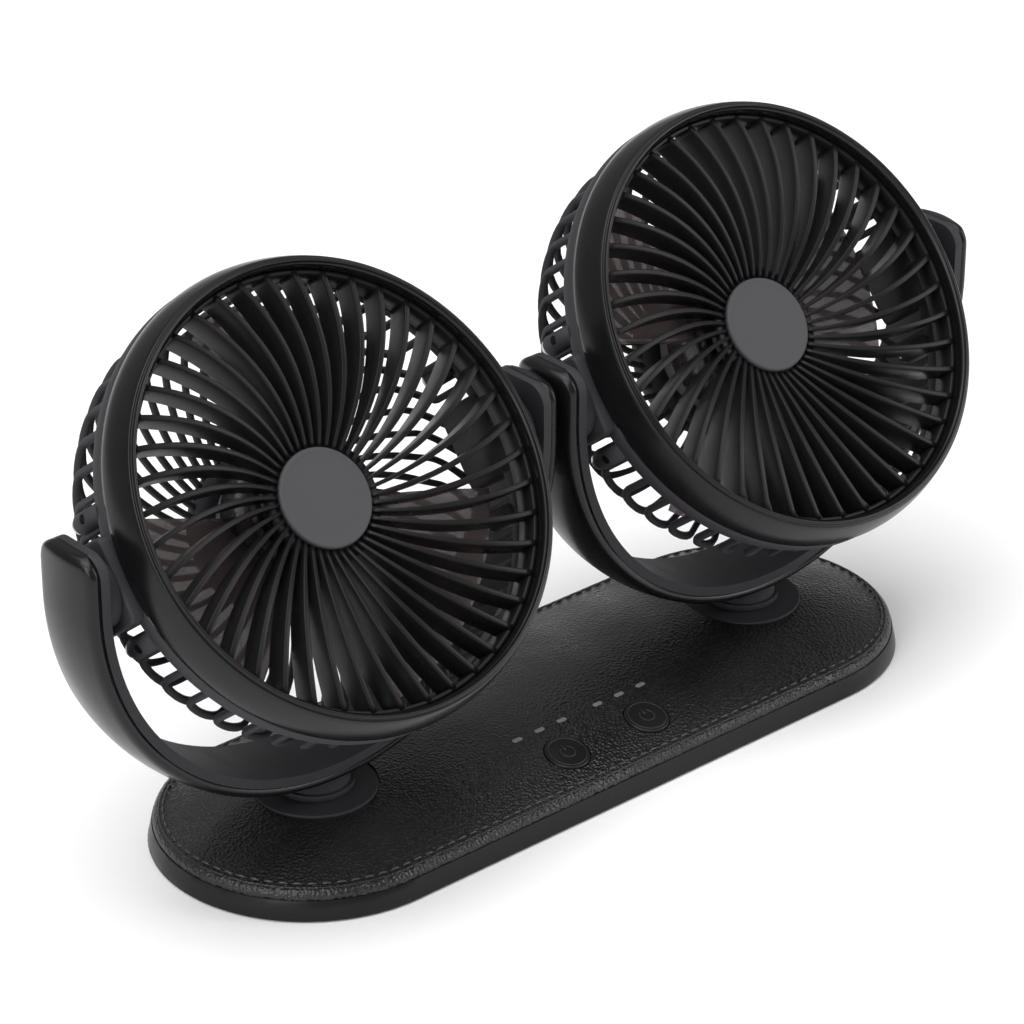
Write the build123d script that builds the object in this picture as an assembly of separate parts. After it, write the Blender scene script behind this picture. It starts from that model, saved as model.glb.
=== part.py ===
# Dual-head car fan: two tilting fan heads in swivelling yokes on a long domed base.
# Millimetres, +Z up, heads facing -Y, origin at the centre of the underside.
import math
import os

from build123d import *

# Base sizes
base_length = 254.0
base_width = 90.0
skirt_top_inset = 1.2
skirt_height = 6.2
skirt_wall = 2.4
tray_floor = 1.9
tray_clearance = 0.6
pad_thickness = 1.5
pad_inset = 4.5
leather_edge_inset = 1.5
leather_thickness = 1.2
leather_corner = 2.4
leather_edge_height = 8.5
dome_top = 16.0
shell_thickness = 2.0
base_screw_spots = [(112.0, 0.0), (46.0, 32.0), (46.0, -36.0), (-112.0, 0.0), (-46.0, 32.0), (-46.0, -36.0)]
boss_radius = 3.0
base_screw_radius = 1.2
base_screw_head_radius = 2.3
base_screw_head_height = 1.0
base_screw_length = 6.0
base_screw_play = 0.2
thread_play = 0.05

# Controls on the front slope of the base
button_spacing = 30.0
button_y = -29.8
button_radius = 6.5
button_gap = 0.3
button_proud = 0.4
button_travel = 0.4
button_depth = 2.4
button_edge = 0.5
button_boss_radius = 4.5
button_boss_height = 0.4
button_ring_radius = 2.4
button_ring_width = 0.5
button_ring_height = 0.25
switch_size = (4.5, 4.5, 1.8)
stem_radius = 1.5
stem_play = 0.15
led_pitch = 8.2
led_y = -18.2
led_length = 3.3
led_width = 1.4
led_proud = 0.15
led_hole_depth = 6.0
board_size = (74.0, 30.0, 1.6)
board_y = -22.0
board_bottom = 5.0
board_peg_inset = 4.0
board_peg_y = 10.0
board_peg_radius = 1.05
board_peg_rise = 0.8
board_post_radius = 2.6
socket_size = (9.0, 7.4, 3.3)
socket_mouth = (8.4, 2.6)
socket_mouth_depth = 5.8
socket_tongue = (6.6, 4.8, 0.7)
socket_height = 4.5
socket_proud = 0.2
socket_play = 0.1

# Swivels
fan_spacing = 161.2
plate_radius = 17.4
plate_top = 15.6
plate_thickness = 2.2
plate_edge = 0.4
plate_play = 0.15
sleeve_radius = 12.0
sleeve_bottom = 8.0
spindle_radius = 8.0
spindle_clearance = 0.1
cable_bore_radius = 3.6
retainer_radius = 11.0
retainer_thickness = 2.0
retainer_screw_circle = 5.8
retainer_screw_radius = 0.8
retainer_screw_head = (1.5, 0.9)
retainer_screw_length = 6.0
swivel_gap = 0.3
neck_radius = 9.7
neck_step_radius = 10.8
neck_step_height = 1.8

# Yokes
pivot_height = 100.2
yoke_inner_radius = 72.8
yoke_frame_thickness = 2.7
yoke_cover_thickness = 2.6
yoke_crown = 1.7
yoke_width = 23.0
yoke_top_rise = 15.0
yoke_tip_corner = 6.0
pivot_screw_radius = 2.9
pivot_head_radius = 5.0
pivot_head_height = 1.6
pivot_head_play = 0.4
pivot_clearance = 0.1
pivot_disc_radius = 10.0
ear_face = 68.0
ear_half_width = 12.0
ear_depth = 22.0
ear_edge = 2.0
pivot_hole_depth = 5.2
pivot_screw_depth = 4.8

# Fan heads, in the head's own frame: z forwards along the fan axis, y up
rest_tilt = 38.0
lip_radius = 61.7
lip_front = 21.9
bezel_radius = 65.4
bezel_rear = 9.5
bezel_inner_radius = 60.4
bezel_waist = (64.8, 15.0)
lip_bead = 0.7
lip_outer = 62.6
lip_inner_drop = 1.2
channel_width = 1.8
channel_depth = 6.0
snap_clearance = 0.1
grille_ring_width = 1.3
grille_ring_front = 17.6
grille_ring_rear = 9.6
rib_count = 43
rib_width = 1.7
rib_twist = 16.3
rib_phase = 1.5
rib_inner_radius = 12.3
rib_outer_radius = 59.6
rib_front_heights = (8.2, 16.7, 17.9)
rib_rear_heights = (5.0, 8.8, 9.8)
hub_cap_radius = 13.9
hub_cap_front = 10.1
hub_cap_thickness = 1.9
hub_cap_edge = 0.6
hub_ring_radius = 17.5
hub_ring_rear = 4.5
cage_radius = 62.6
cage_rim_rear = 4.0
cage_side_rear = -9.5
cage_corner = 13.0
cage_back = -24.4
cage_wall = 2.4
bar_count = 45
bar_width = 2.2
bar_twist_per_mm = 0.65
bar_phase = -1.6
motor_cup_radius = 22.0
motor_cup_rear = -29.0
motor_cup_front = -20.5
motor_cup_floor = 2.4
motor_cup_edge = 2.0
motor_radius = 16.5
motor_front = -9.0
motor_boss_radius = 11.5
motor_boss_height = 2.0
motor_clearance = 0.15
shaft_radius = 1.5
shaft_clearance = 0.08
shaft_rear = -22.0
shaft_front = 0.5
blade_count = 3
blade_tip_radius = 56.5
blade_thickness = 1.6
blade_mid_z = -5.5
impeller_hub_radius = 19.0
impeller_hub_wall = 1.6
impeller_hub_front = 2.0
impeller_hub_rear = -14.0
impeller_hub_face = 5.0
impeller_hub_edge = 3.0
blade_root_radius = 17.8
blade_sweep = 70.0
blade_rise = 14.4
blade_phases = {"left": 75.0, "right": 15.0}
head_screw_gaps = (2.65, 20.65, 24.65, 42.65)
head_screw_circle = 62.8
head_screw_radius = 1.2
head_boss_radius = 3.1
head_boss_rear = -8.0
head_screw_head = (2.3, 1.4)
head_screw_front = 13.1

# Worked out from the sizes above
base_half = base_width / 2
end_centre = base_length / 2 - base_half
leather_half = base_half - leather_edge_inset
dome_sag = dome_top - leather_edge_height
dome_radius = (leather_half**2 + dome_sag**2) / (2 * dome_sag)
tray_floor_top = pad_thickness + tray_floor
board_top = board_bottom + board_size[2]
plate_bottom = plate_top - plate_thickness
button_slope = math.degrees(math.asin(-button_y / dome_radius))
frame_outer = yoke_inner_radius + yoke_frame_thickness
cover_edge = frame_outer + yoke_cover_thickness
hub_front = hub_cap_front - hub_cap_thickness
cage_corner_centre = cage_radius - cage_corner
channel_middle = (bezel_inner_radius + bezel_radius) / 2
channel_front = bezel_rear + channel_depth
head_screw_angles = [360 / bar_count * gap + bar_phase for gap in head_screw_gaps]
pivot_disc_face = math.sqrt(yoke_inner_radius**2 - pivot_disc_radius**2) - swivel_gap


def dome_z(offset):
    """Height of the leather's surface at a distance from the middle line."""
    return dome_top - dome_radius + math.sqrt(dome_radius**2 - offset**2)


def stadium_body(profile):
    """A half profile in the YZ plane, run along the straight and round both ends."""
    straight = extrude(profile, amount=end_centre, both=True, dir=(1, 0, 0))
    straight += mirror(straight, about=Plane.XZ)
    end = Pos(-end_centre, 0, 0) * revolve(profile, axis=Axis.Z, revolution_arc=180)
    return straight + end + mirror(end, about=Plane.YZ)


def flat_profile(half_width, low, high, top_inset=0.0):
    """Half profile of a flat slab, drawn in at the top by top_inset."""
    corners = [(0, 0, low), (0, half_width, low), (0, half_width - top_inset, high), (0, 0, high)]
    return make_face(Polyline(*corners, close=True))


def dome_profile(shrink):
    """Half profile of the domed top, shrunk all round by a shell thickness."""
    half, radius = leather_half - shrink, dome_radius - shrink
    centre = dome_top - dome_radius
    low, high = skirt_height, centre + math.sqrt(radius**2 - half**2)
    middle = (0, half / 2, centre + math.sqrt(radius**2 - half**2 / 4))
    outline = [Line((0, 0, low), (0, half, low)), Line((0, half, low), (0, half, high))]
    outline.append(ThreePointArc((0, half, high), middle, (0, 0, dome_top - shrink)))
    outline.append(Line((0, 0, dome_top - shrink), (0, 0, low)))
    face = make_face(outline)
    corner = face.vertices().sort_by(lambda v: -v.Y - v.Z)[0]
    return fillet(corner, leather_corner - shrink / 2) if shrink < leather_corner else face


def rod(radius, low, high, spot=(0, 0)):
    """An upright cylinder between two heights."""
    upright = Cylinder(radius, high - low, align=(Align.CENTER, Align.CENTER, Align.MIN))
    return Pos(spot[0], spot[1], low) * upright


def cross_rod(radius, start, end, height):
    """A cylinder along X between two places, at a height."""
    length = end - start
    return Pos((start + end) / 2, 0, height) * Rot(0, 90, 0) * Cylinder(radius, length)


def button_place(side):
    """Frame of a button: on the leather's surface, square to it."""
    surface = Pos(side * button_spacing / 2, button_y, dome_z(button_y))
    return surface * Rot(button_slope, 0, 0)


def led_spots():
    """Centres of the six indicator lamps, three above each button."""
    return [(side * button_spacing / 2 + k * led_pitch, led_y) for side in (-1, 1) for k in (-1, 0, 1)]


def led_slot(spot, low, high, grow=0.0):
    """One lamp's slot-shaped prism."""
    face = Pos(spot[0], spot[1], low) * SlotOverall(led_length + 2 * grow, led_width + 2 * grow)
    return extrude(face, amount=high - low, dir=(0, 0, 1))


def build_base_screws(tray, shell):
    """Screws up through the tray into bosses under the shell; returns tray, shell and screws."""
    inner = stadium_body(dome_profile(leather_thickness + shell_thickness))
    head_top = pad_thickness + base_screw_head_height
    screw_top = head_top + base_screw_length
    screws = []
    for spot in base_screw_spots:
        boss = rod(boss_radius, tray_floor_top, skirt_height, spot)
        shell += boss + (rod(boss_radius, skirt_height, dome_top, spot) & inner)
        shell -= rod(base_screw_radius + thread_play, 0, screw_top + base_screw_play, spot)
        tray -= rod(base_screw_radius + base_screw_play, 0, skirt_height, spot)
        tray -= rod(base_screw_head_radius + base_screw_play, 0, head_top, spot)
        head = rod(base_screw_head_radius, pad_thickness, head_top, spot)
        screws.append(head + rod(base_screw_radius, pad_thickness, screw_top, spot))
    return tray, shell, Compound(children=screws)


def build_board(tray):
    """The control board on two pegs of the tray; returns tray and board."""
    board = Pos(0, board_y, board_bottom + board_size[2] / 2) * Box(*board_size)
    reach = board_size[0] / 2 - board_peg_inset
    for x in (-reach, reach):
        spot = (x, board_y + board_peg_y)
        board -= rod(board_peg_radius + thread_play, 0, dome_top, spot)
        tray += rod(board_post_radius, tray_floor_top, board_bottom, spot)
        tray += rod(board_peg_radius, board_bottom, board_top + board_peg_rise, spot)
    return tray, board


def build_switches():
    """A push switch on the board under each button."""
    switches = []
    for side in (-1, 1):
        pressed = button_proud - button_depth - button_boss_height - button_travel
        touch = (button_place(side) * Pos(0, 0, pressed)).position
        stem_top = touch.Z - stem_radius * math.sin(math.radians(button_slope)) - stem_play
        body = Pos(touch.X, touch.Y, board_top + switch_size[2] / 2) * Box(*switch_size)
        switches.append(body + rod(stem_radius, board_top, stem_top, (touch.X, touch.Y)))
    return Compound(children=switches)


def build_socket(tray):
    """The power inlet in the back of the skirt; returns tray and socket."""
    rear = base_half - skirt_top_inset
    width, depth, height = socket_size
    socket = Pos(0, rear - depth / 2 + socket_proud, socket_height) * Box(width, depth, height)
    mouth = Pos(0, rear + socket_proud, socket_height) * Rot(90, 0, 0)
    socket -= mouth * extrude(SlotOverall(*socket_mouth), amount=socket_mouth_depth)
    tongue_y = rear + socket_proud - depth + socket_tongue[1] / 2 + 1
    socket += Pos(0, tongue_y, socket_height) * Box(*socket_tongue)
    opening = Box(width + 2 * socket_play, 2 * depth, height + 2 * socket_play)
    return tray - Pos(0, rear, socket_height) * opening, socket


def build_base():
    """The base's fixed pieces, by name."""
    tray = stadium_body(flat_profile(base_half, tray_clearance, skirt_height, skirt_top_inset))
    tray -= stadium_body(flat_profile(base_half - skirt_top_inset - skirt_wall, tray_floor_top, dome_top))
    tray -= stadium_body(flat_profile(base_half - pad_inset, 0, pad_thickness))
    pad = stadium_body(flat_profile(base_half - pad_inset - snap_clearance, 0, pad_thickness))
    shell = stadium_body(dome_profile(leather_thickness))
    shell -= stadium_body(dome_profile(leather_thickness + shell_thickness))
    leather = stadium_body(dome_profile(0.0)) - stadium_body(dome_profile(leather_thickness))
    tray, shell, screws = build_base_screws(tray, shell)
    for side in (-1, 1):
        spot = (side * fan_spacing / 2, 0)
        leather -= rod(plate_radius + plate_play, skirt_height, dome_top + 1, spot)
        shell -= rod(plate_radius + plate_play, plate_bottom, dome_top + 1, spot)
        shell -= rod(sleeve_radius + plate_play, skirt_height, dome_top + 1, spot)
        hole = button_place(side) * Cylinder(button_radius + button_gap, dome_top)
        leather -= hole
        shell -= hole
    lights = []
    for spot in led_spots():
        surface = dome_z(spot[1])
        shell -= led_slot(spot, surface - led_hole_depth, surface + 1, thread_play)
        leather -= led_slot(spot, surface - led_hole_depth, surface + 1, thread_play)
        lights.append(led_slot(spot, board_top, surface + led_proud))
    tray, board = build_board(tray)
    tray, socket = build_socket(tray)
    return {"base_tray": tray, "base_pad": pad, "top_shell": shell, "leather_cover": leather,
            "base_screws": screws, "lamp_light_guides": Compound(children=lights),
            "control_board": board, "button_switches": build_switches(), "power_socket": socket}


def build_button(side):
    """A round key with a raised ring, square to the slope, and a boss that presses its switch."""
    top = (Align.CENTER, Align.CENTER, Align.MAX)
    key = Pos(0, 0, button_proud) * Cylinder(button_radius, button_depth, align=top)
    key = fillet(key.edges().filter_by(GeomType.CIRCLE).sort_by(Axis.Z)[-1], button_edge)
    ring = rod(button_ring_radius, button_proud, button_proud + button_ring_height)
    ring -= rod(button_ring_radius - button_ring_width, button_proud, button_proud + button_ring_height)
    boss = Cylinder(button_boss_radius, button_boss_height, align=top)
    boss = Pos(0, 0, button_proud - button_depth) * boss
    return button_place(side) * (key + ring + boss)


def build_swivel_plate(side):
    """The round plate that is fixed in the base and carries a yoke's spindle."""
    spot = (side * fan_spacing / 2, 0)
    plate = rod(plate_radius, plate_bottom, plate_top, spot)
    plate = fillet(plate.edges().filter_by(GeomType.CIRCLE).sort_by(Axis.Z)[-1], plate_edge)
    plate += rod(sleeve_radius, sleeve_bottom, plate_bottom, spot)
    return plate - rod(spindle_radius + spindle_clearance, 0, dome_top, spot)


def yoke_band(inner, edge, crown):
    """A band round the head's pivot line: half a ring with two upright arms."""
    half = yoke_width / 2
    points = [(inner, -half, 0), (edge, -half, 0), (edge, half, 0), (inner, half, 0)]
    if crown > 0:
        outer = ThreePointArc(points[1], (edge + crown, 0, 0), points[2])
    else:
        outer = Line(points[1], points[2])
    sides = [Line(points[0], points[1]), outer, Line(points[2], points[3]), Line(points[3], points[0])]
    face = make_face(sides)
    ring = revolve(face, axis=Axis.Y, revolution_arc=180)
    arm = extrude(face, amount=yoke_top_rise, dir=(0, 0, 1))
    reach = 2 * (edge + crown)
    shape = Pos(edge, 0, 0) * Box(reach, yoke_width, 2 * yoke_top_rise)
    arm &= fillet(shape.edges().filter_by(Axis.X).group_by(Axis.Z)[-1], yoke_tip_corner)
    return ring + arm + mirror(arm, about=Plane.YZ)


def build_retainer(spot, frame):
    """The disc that holds a spindle under its plate, and its screws; returns all three pieces."""
    low = sleeve_bottom - swivel_gap - retainer_thickness
    retainer = rod(retainer_radius, low, low + retainer_thickness, spot)
    retainer -= rod(cable_bore_radius, low, dome_top, spot)
    head_radius, head_height = retainer_screw_head
    screws = []
    for turn in (30, 150, 270):
        a = math.radians(turn)
        place = (spot[0] + retainer_screw_circle * math.cos(a), spot[1] + retainer_screw_circle * math.sin(a))
        retainer -= rod(retainer_screw_radius + thread_play, low, dome_top, place)
        hole_top = low + retainer_screw_length + base_screw_play
        frame -= rod(retainer_screw_radius + thread_play, low, hole_top, place)
        shank = rod(retainer_screw_radius, low - head_height, low + retainer_screw_length, place)
        screws.append(shank + rod(head_radius, low - head_height, low, place))
    return frame, retainer, Compound(children=screws)


def build_yoke(side):
    """Yoke frame with its neck and spindle, its outer cover, and the parts under the base."""
    x = side * fan_spacing / 2
    pivot = Pos(x, 0, pivot_height)
    spot = (x, 0)
    frame = pivot * yoke_band(yoke_inner_radius, frame_outer, 0)
    cover = pivot * yoke_band(frame_outer, cover_edge, yoke_crown)
    neck_low = plate_top + swivel_gap
    neck_top = pivot_height - frame_outer
    neck = rod(neck_step_radius, neck_low, neck_low + neck_step_height, spot)
    neck += rod(neck_radius, neck_low, neck_top + 1, spot)
    neck += rod(spindle_radius, sleeve_bottom - swivel_gap, neck_low, spot)
    cover -= rod(neck_radius + thread_play, 0, pivot_height, spot)
    frame += neck - rod(cable_bore_radius, 0, neck_top, spot)
    frame, retainer, screws = build_retainer(spot, frame)
    for end in (-1, 1):
        low, high = sorted((x + end * (yoke_inner_radius - 1), x + end * (frame_outer + 1)))
        frame -= cross_rod(pivot_screw_radius + pivot_clearance, low, high, pivot_height)
        pocket_floor = frame_outer + swivel_gap + pivot_head_height + swivel_gap
        low, high = sorted((x + end * (frame_outer - 1), x + end * pocket_floor))
        cover -= cross_rod(pivot_head_radius + pivot_head_play, low, high, pivot_height)
    return {"yoke_frame": frame, "yoke_cover": cover, "spindle_retainer": retainer, "retainer_screws": screws}


def ring_solid(points):
    """A body of revolution about the fan axis from (radius, z) corners."""
    return revolve(make_face(Polyline(*[(r, 0, z) for r, z in points], close=True)), axis=Axis.Z)


def spiral_strip(start, end, width, low, high):
    """A curved strip between two (radius, angle) points and the one halfway, extruded along the axis."""
    middle = ((start[0] + end[0]) / 2, (start[1] + end[1]) / 2)
    points = [(r * math.cos(math.radians(a)), r * math.sin(math.radians(a))) for r, a in (start, middle, end)]
    centre = ThreePointArc(*points)
    face = Pos(0, 0, low) * trace(centre, line_width=width)
    return extrude(face, amount=high - low, dir=(0, 0, 1))


def around(shape, count):
    """Copies of a shape evenly round the fan axis."""
    return [Rot(0, 0, 360 * k / count) * shape for k in range(count)]


def build_bezel():
    """The front ring with its beaded lip and the channel that takes the cage's rim."""
    bead_start = (lip_outer, 0, lip_front - lip_bead)
    bead_end = (lip_radius - lip_bead, 0, lip_front - lip_bead)
    inner_top = (bezel_inner_radius, 0, lip_front - lip_inner_drop)
    outer_low, inner_low = (bezel_radius, 0, bezel_rear), (bezel_inner_radius, 0, bezel_rear)
    outline = [Line(inner_low, outer_low)]
    outline.append(ThreePointArc(outer_low, (bezel_waist[0], 0, bezel_waist[1]), bead_start))
    outline.append(ThreePointArc(bead_start, (lip_radius, 0, lip_front), bead_end))
    outline += [Line(bead_end, inner_top), Line(inner_top, inner_low)]
    bezel = revolve(make_face(outline), axis=Axis.Z)
    low, high = channel_middle - channel_width / 2, channel_middle + channel_width / 2
    bezel -= ring_solid([(low, 0), (high, 0), (high, channel_front), (low, channel_front)])
    for angle in head_screw_angles:
        bezel -= rod(head_screw_radius + thread_play, 0, channel_front, head_screw_spot(angle))
    return bezel


def build_grille():
    """Front grille: deep curved ribs dished towards the hub, in one piece with both rings."""
    reach = (rib_inner_radius, (rib_inner_radius + rib_outer_radius) / 2, rib_outer_radius)
    front = [(r, 0, z) for r, z in zip(reach, rib_front_heights)]
    rear = [(r, 0, z) for r, z in zip(reach, rib_rear_heights)]
    outline = [ThreePointArc(*front), Line(front[2], rear[2]), ThreePointArc(*rear), Line(rear[0], front[0])]
    dish = revolve(make_face(outline), axis=Axis.Z)
    rib = spiral_strip((rib_inner_radius, 0), (bezel_inner_radius, rib_twist), rib_width, 0, lip_front) & dish
    rib = Rot(0, 0, rib_phase) * (rib - rod(hub_cap_radius + thread_play, hub_front, lip_front))
    outer = bezel_inner_radius - snap_clearance / 2
    inner = outer - grille_ring_width
    ring = ring_solid([(inner, grille_ring_rear), (outer, grille_ring_rear), (outer, grille_ring_front),
                       (inner, grille_ring_front)])
    return ring + around(rib, rib_count) + [rod(hub_ring_radius, hub_ring_rear, hub_front)]


def build_hub_cap():
    """The flat round cap over the grille's hub."""
    cap = rod(hub_cap_radius, hub_front, hub_cap_front)
    return fillet(cap.edges().filter_by(GeomType.CIRCLE).sort_by(Axis.Z)[-1], hub_cap_edge)


def cage_profile(shrink):
    """Outline of the cage's side, corner and back as a solid of revolution."""
    corner = cage_corner - shrink
    centre = (cage_corner_centre, cage_side_rear)
    diagonal = corner * math.sqrt(0.5)
    back = cage_back + shrink
    flat = cage_side_rear - corner
    outline = [Line((0, 0, bezel_rear), (cage_radius - shrink, 0, bezel_rear))]
    outline.append(Line((cage_radius - shrink, 0, bezel_rear), (cage_radius - shrink, 0, cage_side_rear)))
    outline.append(ThreePointArc((cage_radius - shrink, 0, cage_side_rear),
                                 (centre[0] + diagonal, 0, centre[1] - diagonal), (centre[0], 0, flat)))
    outline.append(Line((centre[0], 0, flat), (motor_cup_radius, 0, back)))
    outline.append(Line((motor_cup_radius, 0, back), (0, 0, back)))
    outline.append(Line((0, 0, back), (0, 0, bezel_rear)))
    return revolve(make_face(outline), axis=Axis.Z)


def head_screw_spot(angle):
    """Place of a cage screw on the rim."""
    a = math.radians(angle)
    return head_screw_circle * math.cos(a), head_screw_circle * math.sin(a)


def build_ears():
    """The two side panels that carry the pivots, with the holes for their screws."""
    inner = cage_radius - cage_wall
    ear = Pos(0, 0, bezel_rear - ear_depth / 2) * Box(2 * ear_face, 2 * ear_half_width, ear_depth)
    ear = fillet(ear.edges().filter_by(Axis.X), ear_edge)
    ear = ear - rod(inner, cage_back, lip_front)
    for end in (-1, 1):
        low, high = sorted((end * (ear_face - pivot_hole_depth), end * (ear_face + 1)))
        ear = ear - cross_rod(pivot_screw_radius + thread_play, low, high, 0)
    return ear


def build_rear_cage():
    """Rear housing: rim, side bars that turn into a spiral back, motor cup, ears and screw bosses."""
    shell = cage_profile(0) - cage_profile(cage_wall)
    twist = bar_twist_per_mm * (cage_radius - motor_cup_radius)
    bar = spiral_strip((bezel_radius, 0), (motor_radius + cage_wall, twist), bar_width, cage_back, bezel_rear)
    bar = Rot(0, 0, bar_phase) * (bar & shell)
    inner = cage_radius - cage_wall
    edge = bezel_radius - snap_clearance
    rim = ring_solid([(inner, cage_rim_rear), (edge - 1, cage_rim_rear), (edge, cage_rim_rear + 1),
                      (edge, bezel_rear), (inner, bezel_rear)])
    low = channel_middle - channel_width / 2 + snap_clearance
    high = channel_middle + channel_width / 2 - snap_clearance
    top = channel_front - 1
    tongue = ring_solid([(low, bezel_rear - 1), (high, bezel_rear - 1), (high, top), (low, top)])
    cup = rod(motor_cup_radius, motor_cup_rear, motor_cup_front)
    cup = fillet(cup.edges().filter_by(GeomType.CIRCLE).sort_by(Axis.Z)[0], motor_cup_edge)
    cage = rim + around(bar, bar_count) + [cup, tongue]
    cage += build_ears()
    holes = [rod(motor_radius + motor_clearance, motor_cup_rear + motor_cup_floor, bezel_rear)]
    bosses = []
    for angle in head_screw_angles:
        spot = head_screw_spot(angle)
        bosses.append(rod(head_boss_radius, head_boss_rear, cage_rim_rear + 1, spot))
        holes.append(rod(head_screw_radius + base_screw_play, head_boss_rear - 1, channel_front, spot))
        holes.append(rod(head_screw_head[0] + base_screw_play, cage_back, head_boss_rear, spot))
    cage = cage + bosses
    for hole in holes:
        cage = cage - hole
    return cage


def build_head_screws():
    """Four screws that draw the cage to the bezel from behind."""
    head_radius, head_height = head_screw_head
    screws = []
    for angle in head_screw_angles:
        spot = head_screw_spot(angle)
        shank = rod(head_screw_radius, head_boss_rear - head_height, head_screw_front, spot)
        screws.append(shank + rod(head_radius, head_boss_rear - head_height, head_boss_rear, spot))
    return Compound(children=screws)


def build_pivots():
    """Friction discs between the ears and the yoke, and the screws through them."""
    discs, screws = [], []
    for end in (-1, 1):
        low, high = sorted((end * ear_face, end * pivot_disc_face))
        disc = cross_rod(pivot_disc_radius, low, high, 0)
        disc -= cross_rod(pivot_screw_radius + thread_play, low - 1, high + 1, 0)
        discs.append(disc)
        head_start = frame_outer + swivel_gap
        low, high = sorted((end * (ear_face - pivot_screw_depth), end * head_start))
        shank = cross_rod(pivot_screw_radius, low, high, 0)
        low, high = sorted((end * head_start, end * (head_start + pivot_head_height)))
        screws.append(shank + cross_rod(pivot_head_radius, low, high, 0))
    return Compound(children=discs), Compound(children=screws)


def build_motor():
    """The motor's can, seated in the cup."""
    can = rod(motor_radius, motor_cup_rear + motor_cup_floor, motor_front - motor_boss_height)
    can += rod(motor_boss_radius, motor_front - motor_boss_height, motor_front)
    return can - rod(shaft_radius + shaft_clearance, shaft_rear - 0.5, motor_front)


def build_impeller(phase):
    """Hub shell over the motor with wide screw-shaped blades, the first at an angle."""
    hub = rod(impeller_hub_radius, impeller_hub_rear, impeller_hub_front)
    hub = fillet(hub.edges().filter_by(GeomType.CIRCLE).sort_by(Axis.Z)[-1], impeller_hub_edge)
    cavity_top = impeller_hub_front - impeller_hub_face
    hub -= rod(impeller_hub_radius - impeller_hub_wall, impeller_hub_rear, cavity_top)
    hub -= rod(shaft_radius, impeller_hub_rear, shaft_front)
    middle, span = (blade_root_radius + blade_tip_radius) / 2, blade_tip_radius - blade_root_radius
    sections = []
    for share in (-0.5, -0.25, 0, 0.25, 0.5):
        section = Plane.XZ * Pos(middle, blade_mid_z + share * blade_rise) * Rectangle(span, blade_thickness)
        sections.append(Rot(0, 0, phase + share * blade_sweep) * section)
    return hub + around(loft(sections), blade_count)


def build_shaft():
    """The steel shaft from the motor to the impeller's hub."""
    return rod(shaft_radius, shaft_rear, shaft_front)


def build_head():
    """All pieces of a fan head in the head's own frame."""
    discs, screws = build_pivots()
    return {"bezel": build_bezel(), "front_grille": build_grille(), "hub_cap": build_hub_cap(),
            "rear_cage": build_rear_cage(), "cage_screws": build_head_screws(), "pivot_discs": discs,
            "pivot_screws": screws, "motor": build_motor(), "motor_shaft": build_shaft()}


def head_place(side):
    """The head's frame: on the pivot line, facing forwards and up by the rest tilt."""
    t = math.radians(rest_tilt)
    forwards = (0, -math.cos(t), math.sin(t))
    return Plane(origin=(side * fan_spacing / 2, 0, pivot_height), x_dir=(1, 0, 0), z_dir=forwards).location


def main():
    """Build every piece and write one file for each."""
    nodes = build_base()
    head = build_head()
    for name, side in (("left", -1), ("right", 1)):
        nodes[name + "_button"] = build_button(side)
        nodes[name + "_swivel_plate"] = build_swivel_plate(side)
        for piece, shape in build_yoke(side).items():
            nodes[name + "_" + piece] = shape
        for piece, shape in head.items():
            nodes[name + "_" + piece] = head_place(side) * shape
        nodes[name + "_impeller"] = head_place(side) * build_impeller(blade_phases[name])
    os.makedirs("parts", exist_ok=True)
    for name, shape in nodes.items():
        export_step(shape, f"parts/{name}.step")


if __name__ == "__main__":
    main()
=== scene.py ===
"""Looks of the dual-head car fan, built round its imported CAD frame."""

import logging
import math
from collections.abc import Sequence
from dataclasses import dataclass
from enum import Enum

import bpy
from mathutils import Matrix, Vector


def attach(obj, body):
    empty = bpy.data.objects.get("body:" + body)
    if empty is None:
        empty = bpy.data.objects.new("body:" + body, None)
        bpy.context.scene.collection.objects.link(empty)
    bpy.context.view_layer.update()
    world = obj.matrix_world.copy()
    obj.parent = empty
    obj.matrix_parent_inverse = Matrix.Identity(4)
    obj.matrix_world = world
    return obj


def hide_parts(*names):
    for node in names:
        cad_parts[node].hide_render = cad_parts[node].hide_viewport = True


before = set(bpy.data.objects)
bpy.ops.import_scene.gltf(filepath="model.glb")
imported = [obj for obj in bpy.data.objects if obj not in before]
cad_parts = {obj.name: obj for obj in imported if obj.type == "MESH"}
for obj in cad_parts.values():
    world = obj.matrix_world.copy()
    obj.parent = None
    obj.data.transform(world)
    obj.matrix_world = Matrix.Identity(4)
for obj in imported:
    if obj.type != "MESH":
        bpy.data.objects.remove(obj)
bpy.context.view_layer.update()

MM = 0.001
WELD_REACH = 0.000002
SHARP_EDGE_DEGREES = 40.0
ROUNDING_SEGMENTS = 2

COAT_ROUGHNESS = 0.2
PATCHES_PER_METRE = 55.0
PATCH_DETAIL = 5.0
PATCH_RANGE = (0.3, 0.7)
PATCH_TINT = 1.35
GRAIN_DETAIL = 3.0
PORE_SMOOTHNESS = 0.35
BRUSH_STRETCH = (1.0, 1.0, 14.0)

Point = tuple[float, float, float]
Profile = tuple[tuple[float, float], ...]
log = logging.getLogger("car_fan")


class Side(Enum):
    """The two ends of the base that carry a fan."""

    LEFT = -1
    RIGHT = 1

    @property
    def prefix(self) -> str:
        """Start of the names of this side's nodes and bodies."""
        return self.name.lower() + "_"


class Texture(Enum):
    """The kinds of fine surface detail."""

    MOULDED = "moulded"
    GRAINED = "grained"
    BRUSHED = "brushed"


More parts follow.
